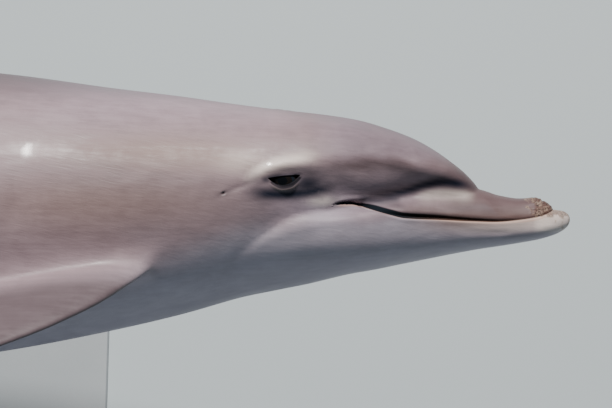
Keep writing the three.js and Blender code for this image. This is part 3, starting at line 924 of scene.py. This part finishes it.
def painted_reflection(at):
    """Painted reflection of a bluish sky: a lavender tint on the upper flank and on the melon's top."""
    upper = 0.4 * smooth(0.42, 0.7, body_height(at))
    upper = upper * smooth(250, 420, at.behind) * smooth(760, 560, at.behind)
    return np.maximum(upper, smooth(340, 250, at.behind) * smooth(42, 66, at.height))


def cream_and_highlight(at):
    """The pale tip and side of the lower jaw. Its bands and spots add painted highlights on the brow, on the
    upper jaw's shelf and at the mouth's corner.
    """
    distance, _ = at.measure(MOUTH_LINE)
    below = smooth(0.5, -1.5, distance) * smooth(-46, -36, at.height)
    return below * np.maximum(smooth(40, 15, at.behind), 0.45 * smooth(160, 40, at.behind))


def lip(at):
    """The creamy edge of the lower lip, which also holds a painted highlight where the edge faces up."""
    distance, share = at.measure(MOUTH_LINE)
    below = smooth(-0.5, -2.0, distance) * smooth(-6, -3.0, distance)
    return below * smooth(0.0, 0.03, share) * smooth(1.0, 0.93, share)


def wear(at):
    """The worn tips of both jaws."""
    upper = smooth(46, 16, at.behind) * smooth(-28, -16, at.height)
    return np.maximum(upper, 0.35 * smooth(12, -14, at.behind))


def hollow(at):
    """Painted shade in the recesses: the mouth, the ear, the blowhole and what lies behind the eyelids, with
    the dark inner skin of the lower lid.
    """
    _, _, groove, strength = mouth_profile(at)
    off, near = blowhole(at, 1.2)
    mouth = np.minimum(1.6 * groove, 1) * (0.6 + 0.4 * strength)
    above_rim, along_rim = at.measure(LID_RIM, 20)
    inside_rim = smooth(0.6, 2, above_rim) * smooth(0, 0.08, along_rim) * smooth(1, 0.92, along_rim)
    under_eye = smooth(0.5, -0.5, at.height - OPENING["rear"] + 0.15 * (at.behind - 371))
    inner = 0.6 * inside_rim * under_eye * (above_rim < 12)
    gap = np.maximum(smooth(-0.9, 0.2, eye_opening(at)), inner) * by_eye(at, 1.2)
    return np.maximum.reduce([mouth, 0.6 * at.ear(3.6, 1.7), hump(off, 2.2) * near, gap])


def rim(at):
    return lower_rim(at) * by_eye(at, 1.2)


# What each colour has besides its bands and spots.
MASKS = {"cape_and_flank_shade": cape_and_flank_shade, "pale": pale, "shade": shade, "beak_and_painted_shade": beak_and_painted_shade, "lip": lip, "cream_and_highlight": cream_and_highlight, "warm_and_flank_shade": warm_and_flank_shade,
         "painted_reflection": painted_reflection, "wear": wear, "hollow": hollow, "rim": rim}


def soft_marks(at, name):
    """All the bands and spots of one colour."""
    bands = [strength * at.band(*band) for strength, *band in BANDS.get(name, [])]
    return bands + [strength * at.spot(*spot) for strength, *spot in SPOTS.get(name, [])]


def paint(mesh, points):
    """Stores where each colour lies, from 0 to 1 at every vertex: the fins have the cape's alone."""
    at = Places(points)
    fin = smooth(4, 60, standing_off(points)) * (at.behind > FINS_FROM)
    for name in (*MASKS, "wet"):
        parts = [MASKS[name](at)] if name in MASKS else []
        values = np.clip(np.maximum.reduce(parts + soft_marks(at, name)), 0, 1)
        add_attribute(mesh, name, values * (1 - fin) + FIN_CAPE * fin * (name == "cape_and_flank_shade"))


# ---------------- materials
def tint(red, green, blue):
    """A colour from its usual 0 to 255 values."""
    shares = np.array([red, green, blue]) / 255
    linear = np.where(shares <= 0.04045, shares / 12.92, ((shares + 0.055) / 1.055) ** 2.4)
    return (*linear, 1)


class Nodes:
    """Short calls that build one material's nodes."""

    def __init__(self, name, **settings):
        self.material = bpy.data.materials.new(name)
        self.material.use_nodes = True
        self.tree = self.material.node_tree
        self.shader = self.tree.nodes["Principled BSDF"]
        for socket, value in settings.items():
            self.shader.inputs[socket.replace("_", " ")].default_value = value

    def add(self, kind, inputs=(), **settings):
        """Adds a node, sets its inputs by name or place, and gives its first output."""
        node = self.tree.nodes.new("ShaderNode" + kind)
        for setting, value in settings.items():
            setattr(node, setting, value)
        for socket, value in dict(inputs).items():
            if isinstance(value, bpy.types.NodeSocket):
                self.tree.links.new(value, node.inputs[socket])
            else:
                node.inputs[socket].default_value = value
        return node.outputs[0]

    def attribute(self, name, output="Fac"):
        return self.add("Attribute", attribute_name=name).node.outputs[output]

    def place(self):
        return self.add("TexCoord").node.outputs["Object"]

    def times(self, a, b):
        return self.add("Math", {0: a, 1: b}, operation="MULTIPLY")

    def plus(self, a, b):
        return self.add("Math", {0: a, 1: b}, operation="ADD")

    def step(self, value, low, high, start=0.0, end=1.0):
        """start where the value is below low, end above high, and a smooth step between."""
        inputs = {"Value": value, "From Min": low, "From Max": high, "To Min": start, "To Max": end}
        return self.add("MapRange", inputs, interpolation_type="SMOOTHSTEP")

    def spread(self, pattern, start, end):
        """From start to end over the usual range of a noise."""
        return self.step(pattern, 0.3, 0.7, start, end)

    def stretched(self, vector, *scale):
        return self.add("Mapping", {"Vector": vector, "Scale": scale})

    def noise(self, vector, scale, detail=2.0, roughness=0.5, distortion=0.0):
        inputs = {"Vector": vector, "Scale": scale, "Detail": detail, "Roughness": roughness,
                  "Distortion": distortion}
        return self.add("TexNoise", inputs)

    def mix(self, share, a, b):
        """One colour laid over another: sockets 6 and 7 are the node's colours, output 2 its result."""
        return self.add("Mix", {0: share, 6: a, 7: b}, data_type="RGBA").node.outputs[2]

    def bump(self, height, distance, strength, below=None):
        inputs = {"Height": height, "Distance": distance, "Strength": strength}
        if below:
            inputs["Normal"] = below
        return self.add("Bump", inputs)

    def link(self, output, socket):
        self.tree.links.new(output, self.shader.inputs[socket])


GREY = tint(148, 129, 135)
# The colours laid over the grey in turn, each where its mask is, and how strongly.
LAYERS = [
    # The dark cape, with painted shade on the mid flank.
    ("cape_and_flank_shade", 0.92, tint(38, 34, 37)),
    ("pale", 0.8, tint(160, 154, 165)),
    # Browner skin, and painted shade on the lower flank.
    ("warm_and_flank_shade", 0.85, tint(122, 98, 89)),
    # Lavender: painted reflection.
    ("painted_reflection", 0.5, tint(160, 149, 166)),
    # Darker skin of the beak and the melon's front, and painted shade above the mouth and below the melon's
    # ridge.
    ("beak_and_painted_shade", 0.8, tint(80, 60, 59)),
    # Pale skin of the lower jaw, and painted highlights.
    ("cream_and_highlight", 0.7, tint(226, 213, 204)),
    # Slate: dark stripes, and painted shade under the melon, round the eye and in creases.
    ("shade", 0.94, tint(0, 19, 37)),
]
# The lower lip's creamy edge, lighter as a painted highlight.
LIP = tint(196, 160, 142)
WORN, SORE, PIT = tint(172, 148, 130), tint(106, 74, 62), tint(38, 26, 22)
RIM = tint(92, 83, 83)
# Painted shade for the recesses, browner along the lips.
HOLLOW, LIP_SHADOW = tint(24, 30, 36), tint(60, 46, 41)


def skin_colour(n, rest, mottle, streaks, grain):
    """Layered greys with soft variety, and the creamy edge of the lower lip with its painted highlight."""
    colour = GREY
    for mask, strength, layer in LAYERS:
        colour = n.mix(n.times(n.attribute(mask), strength), colour, layer)
    variety = n.spread(n.noise(rest, 5, 3, 0.55), -0.06, 0.06)
    for pattern, low, high in ((mottle, -0.05, 0.05), (streaks, -0.06, 0.06), (grain, 0.97, 1.03)):
        variety = n.plus(variety, n.spread(pattern, low, high))
    varied = n.add("VectorMath", {0: colour, 1: variety}, operation="MULTIPLY")
    lip_share = n.step(n.plus(n.attribute("lip"), n.times(n.plus(mottle, -0.5), 0.45)), 0.2, 0.8)
    return n.mix(n.times(lip_share, 0.45), varied, LIP)


def skin_material():
    """Wet skin: its colours, worn jaw tips and painted shade in its recesses, and fine creases in its
    relief.
    """
    n = Nodes("skin", Coat_Roughness=0.14, IOR=1.38)
    rest = n.attribute("rest", "Vector")
    mottle = n.noise(rest, 34, 4, 0.6, 0.3)
    streaks = n.noise(n.stretched(rest, 9, 120, 210), 1, 3, 0.6, 0.4)
    grain = n.noise(rest, 900, 2, 0.6)
    colour = skin_colour(n, rest, mottle, streaks, grain)

    pits = n.noise(rest, 520, 5, 0.7)
    blotches = n.noise(rest, 130, 3, 0.6)
    worn = n.mix(n.step(blotches, 0.4, 0.62), SORE, WORN)
    worn = n.mix(n.step(pits, 0.4, 0.54), PIT, worn)
    wear_mask, hollow_mask = n.attribute("wear"), n.attribute("hollow")
    ragged_wear = n.plus(wear_mask, n.times(n.plus(blotches, -0.5), 2.2))
    worn_share = n.times(n.step(ragged_wear, 0.3, 0.75), n.step(wear_mask, 0.02, 0.2))
    colour = n.mix(n.times(worn_share, 0.7), colour, worn)
    colour = n.mix(n.attribute("rim"), colour, RIM)
    depth = n.mix(n.attribute("warm_and_flank_shade"), HOLLOW, LIP_SHADOW)
    n.link(n.mix(n.step(hollow_mask, 0.25, 0.75), colour, depth), "Base Color")

    dry = n.step(hollow_mask, 0.1, 0.5, 1.0, 0.0)
    film = n.plus(n.step(n.noise(rest, 16, 3, 0.5), 0.5, 0.7, 0.0, 0.04), n.attribute("wet"))
    n.link(n.times(film, dry), "Coat Weight")
    n.link(n.times(dry, n.step(n.attribute("shade"), 0.2, 1.0, 0.5, 0.25)), "Specular IOR Level")
    n.link(n.plus(n.spread(mottle, 0.42, 0.54), n.spread(streaks, -0.05, 0.05)), "Roughness")
    turned = n.add("Mapping", {"Vector": rest, "Rotation": (0, math.radians(-12), 0)})
    creases = n.noise(n.stretched(turned, 40, 160, 300), 1, 2, 0.5, 0.6)
    waves = n.noise(n.stretched(rest, 7, 16, 16), 1, 2, 0.45, 0.4)
    relief = n.bump(waves, 0.006, 0.5)
    relief = n.bump(creases, 0.0006, 0.35, relief)
    relief = n.bump(grain, 0.0002, 0.3, relief)
    n.link(n.bump(pits, 0.002, n.times(worn_share, 0.8), relief), "Normal")
    return n.material


def eye_material():
    """A dark brown iris round a wide pupil, a grey ring and a dark, veined white."""
    n = Nodes("eye", Roughness=0.08, Coat_Weight=1.0, Coat_Roughness=0.03, IOR=1.38)
    gaze = n.attribute("gaze")
    rest = n.attribute("rest", "Vector")
    iris = n.mix(n.step(n.noise(rest, 900, 3, 0.6), 0.35, 0.65), tint(12, 9, 8), tint(26, 18, 13))
    colour = n.mix(n.step(gaze, 0.26, 0.32), tint(4, 4, 6), iris)
    colour = n.mix(n.step(gaze, 0.55, 0.62), colour, tint(22, 28, 36))
    white = n.mix(n.step(n.noise(rest, 300, 4, 0.6), 0.4, 0.6), tint(34, 27, 25), tint(15, 12, 12))
    n.link(n.mix(n.step(gaze, 0.66, 0.8), colour, white), "Base Color")
    n.link(n.bump(n.noise(rest, 500), 0.0001, 0.2), "Normal")
    return n.material


def paint_material():
    """Matt powder coat: fine orange peel and a little dust."""
    n = Nodes("stand_paint")
    place = n.place()
    cloud = n.noise(place, 6, 4, 0.6)
    speck = n.step(n.noise(place, 1600, 1), 0.62, 0.72)
    colour = n.mix(n.spread(cloud, 0, 1), tint(136, 143, 147), tint(144, 151, 155))
    n.link(n.mix(n.times(speck, 0.35), colour, tint(176, 180, 182)), "Base Color")
    n.link(n.spread(cloud, 0.5, 0.62), "Roughness")
    n.link(n.bump(n.noise(place, 700), 0.0003, 0.4), "Normal")
    return n.material


def steel_material():
    """Steel brushed along its length."""
    n = Nodes("stand_steel", Metallic=1.0)
    place = n.place()
    brushed = n.noise(n.stretched(place, 900, 900, 14), 1, 3, 0.6)
    cloud = n.noise(place, 14, 3)
    n.link(n.mix(n.spread(brushed, 0, 1), tint(150, 151, 154), tint(186, 187, 189)), "Base Color")
    n.link(n.plus(n.spread(brushed, 0.24, 0.36), n.spread(cloud, -0.03, 0.05)), "Roughness")
    n.link(n.bump(brushed, 0.0001, 0.3), "Normal")
    return n.material


# ---------------- eyes and stand
def build_eye(node, hand):
    """A smooth eyeball with a slightly bulging cornea, in place of the CAD's."""
    bm = bmesh.new()
    bmesh.ops.create_uvsphere(bm, u_segments=64, v_segments=40, radius=1)
    mesh = bpy.data.meshes.new(node)
    bm.to_mesh(mesh)
    bm.free()
    ball = read(mesh.vertices, "co")[:, [0, 2, 1]]  # its poles look sideways
    ball[:, 1] *= hand
    if hand < 0:
        mesh.flip_normals()
    off = np.hypot(ball[:, 0], ball[:, 2])
    front = hand * ball[:, 1] > 0
    cornea = 1 + 0.02 * smooth(0.6, 0.2, off) * front
    points = ball * [[EYE["long"], EYE["deep"], EYE["tall"]]] * cornea[:, None]
    points += [-EYE["behind"], hand * EYE_ASIDE, EYE["height"]]
    add_attribute(mesh, "gaze", np.where(front, off, 2))
    add_attribute(mesh, "rest", points * MM)
    move(mesh, placed(points))
    mesh.shade_smooth()
    add_piece("eyeball_" + node.split("_")[1], mesh, eye_material(), "eye", node)


def add_piece(name, mesh, material, slot, *nodes):
    """Shows a mesh in place of some of the CAD's nodes."""
    piece = bpy.data.objects.new(name, mesh)
    bpy.context.collection.objects.link(piece)
    mesh.materials.append(material)
    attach(piece, "root")
    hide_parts(*nodes)


def finish_stand():
    bpy.data.objects["stand_base"].material_slots[0].material = paint_material()
    steel = steel_material()
    for node in ("stand_rod_front", "stand_rod_rear"):
        bpy.data.objects[node].material_slots[0].material = steel


# ---------------- studio and camera, in metres
FLOOR_SIZE = 60
KEY_WAY = Vector((0.055, 0.49, 0.87))  # from the head to the key light
KEY_AWAY = 4.0
KEY_COLOUR = (1.0, 0.965, 0.93)
FILL_PLACE = Vector((0.6, -3.4, 0.7))
FILL_COLOUR = (0.7, 0.87, 1.0)
SKY_COLOUR, SKY_STRENGTH = (0.5, 0.68, 0.82, 1), 0.1
LIT = (450, -100, 0)  # where on the animal the lights point, in its own millimetres
VIEW_MIDDLE = (320.4, 0, -5.2)  # what lies in the middle of the picture, in the same
VIEW_WIDTH = 0.794  # how much of the animal's length the picture takes in
CAMERA_AWAY = 4.0
SENSOR = 36  # width of the camera's sensor, in millimetres
CLIP_END = 100  # how far the camera sees


def local_point(behind, side, height):
    """A place given in the animal's own millimetres, in metres in the scene."""
    return Vector(placed(np.array([[-behind, side, height]], float))[0])


def aim(thing, place, target):
    thing.location = place
    thing.rotation_euler = (target - place).to_track_quat("-Z", "Y").to_euler()


def add_floor():
    bpy.ops.mesh.primitive_plane_add(size=FLOOR_SIZE)
    floor = bpy.context.object
    n = Nodes("floor", Roughness=0.85)
    n.link(n.mix(n.noise(n.place(), 0.6, 3), tint(176, 186, 190), tint(184, 193, 196)), "Base Color")
    floor.data.materials.append(n.material)


def add_light(name, place, target, size, power, colour, gloss):
    light = bpy.data.lights.new(name, "AREA")
    light.shape = "DISK"
    light.size, light.energy, light.color, light.specular_factor = size, power, colour, gloss
    lamp = bpy.data.objects.new(name, light)
    bpy.context.collection.objects.link(lamp)
    aim(lamp, place, target)


def add_lights():
    head = local_point(*LIT)
    add_light("key", head + KEY_WAY * KEY_AWAY, head, size=0.9, power=318, colour=KEY_COLOUR, gloss=1.0)
    add_light("fill", FILL_PLACE, head, size=1.2, power=19, colour=FILL_COLOUR, gloss=0.2)
    world = bpy.data.worlds.new("studio")
    world.use_nodes = True
    background = world.node_tree.nodes["Background"]
    background.inputs["Color"].default_value = SKY_COLOUR
    background.inputs["Strength"].default_value = SKY_STRENGTH
    bpy.context.scene.world = world


def add_camera():
    """Square on to the right side of the banked head, as far off as the picture's flat perspective needs."""
    target = local_point(*VIEW_MIDDLE)
    camera = bpy.data.cameras.new("camera")
    camera.sensor_width = SENSOR
    camera.lens = SENSOR * CAMERA_AWAY / VIEW_WIDTH
    camera.clip_end = CLIP_END
    viewer = bpy.data.objects.new("camera", camera)
    bpy.context.collection.objects.link(viewer)
    aim(viewer, target - Vector(TURN[1]) * CAMERA_AWAY, target)
    bpy.context.scene.camera = viewer


add_piece("skin", build_skin(), skin_material(), "skin", *FLESH)
for node, hand in (("eye_left", 1), ("eye_right", -1)):
    build_eye(node, hand)
finish_stand()
add_floor()
add_lights()
add_camera()
